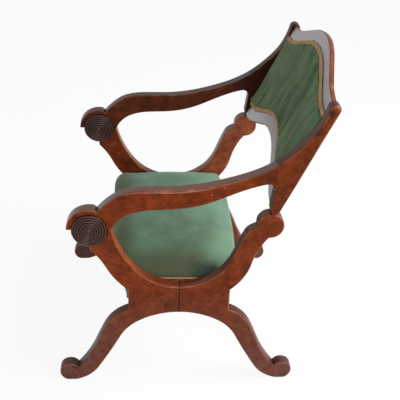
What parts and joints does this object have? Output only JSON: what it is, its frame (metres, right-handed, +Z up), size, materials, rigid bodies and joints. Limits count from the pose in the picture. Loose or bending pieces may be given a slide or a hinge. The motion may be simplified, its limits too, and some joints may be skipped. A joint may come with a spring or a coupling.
{
  "type": "prie-dieu chair",
  "caption": "Low wooden armchair with a velvet seat whose arms and raked back swing forward on front pivots to make a kneeling prayer desk.",
  "frame": {"origin": "on the floor, in the middle of the chair's width and length", "axes": "+Z up, -Y the way the sitter faces, +X the sitter's left"},
  "size_m": [0.6176, 0.6708, 0.8347],
  "materials": {
    "mahogany": "polished",
    "dark_wood": "polished",
    "seat_timber": "plain",
    "velvet": "velvet",
    "back_fabric": "matt",
    "gold_braid": "woven",
    "jute": "woven",
    "steel": "plain"
  },
  "bodies": {
    "stand": {"left_front_support": "mahogany", "right_front_support": "mahogany", "left_rear_support": "mahogany", "right_rear_support": "mahogany", "left_front_leg": "mahogany", "right_front_leg": "mahogany", "left_rear_leg": "mahogany", "right_rear_leg": "mahogany", "frame_tenons": "mahogany", "front_seat_rail": "seat_timber", "rear_seat_rail": "mahogany", "left_seat_rail": "seat_timber", "right_seat_rail": "seat_timber", "corner_blocks": "seat_timber", "seat_webbing_long": "jute", "seat_webbing_cross": "jute", "seat_base_cloth": "jute", "seat_pad": "velvet", "seat_braid": "gold_braid"},
    "arms_and_back": {"left_arm": "mahogany", "right_arm": "mahogany", "left_stile": "mahogany", "right_stile": "mahogany", "arm_tenons": "mahogany", "outer_roundels": "dark_wood", "inner_roundels": "dark_wood", "left_pivot_pin": "steel", "right_pivot_pin": "steel", "back_panel": "mahogany", "back_cloth": "back_fabric", "upper_braid": "gold_braid", "lower_braid": "gold_braid"}
  },
  "joints": [
    {"name": "desk_swing", "type": "hinge", "parent": "stand", "child": "arms_and_back", "pos_m": [0, -0.2524, 0.4525], "axis": [1, 0, 0], "range_deg": [0, 90]}
  ]
}
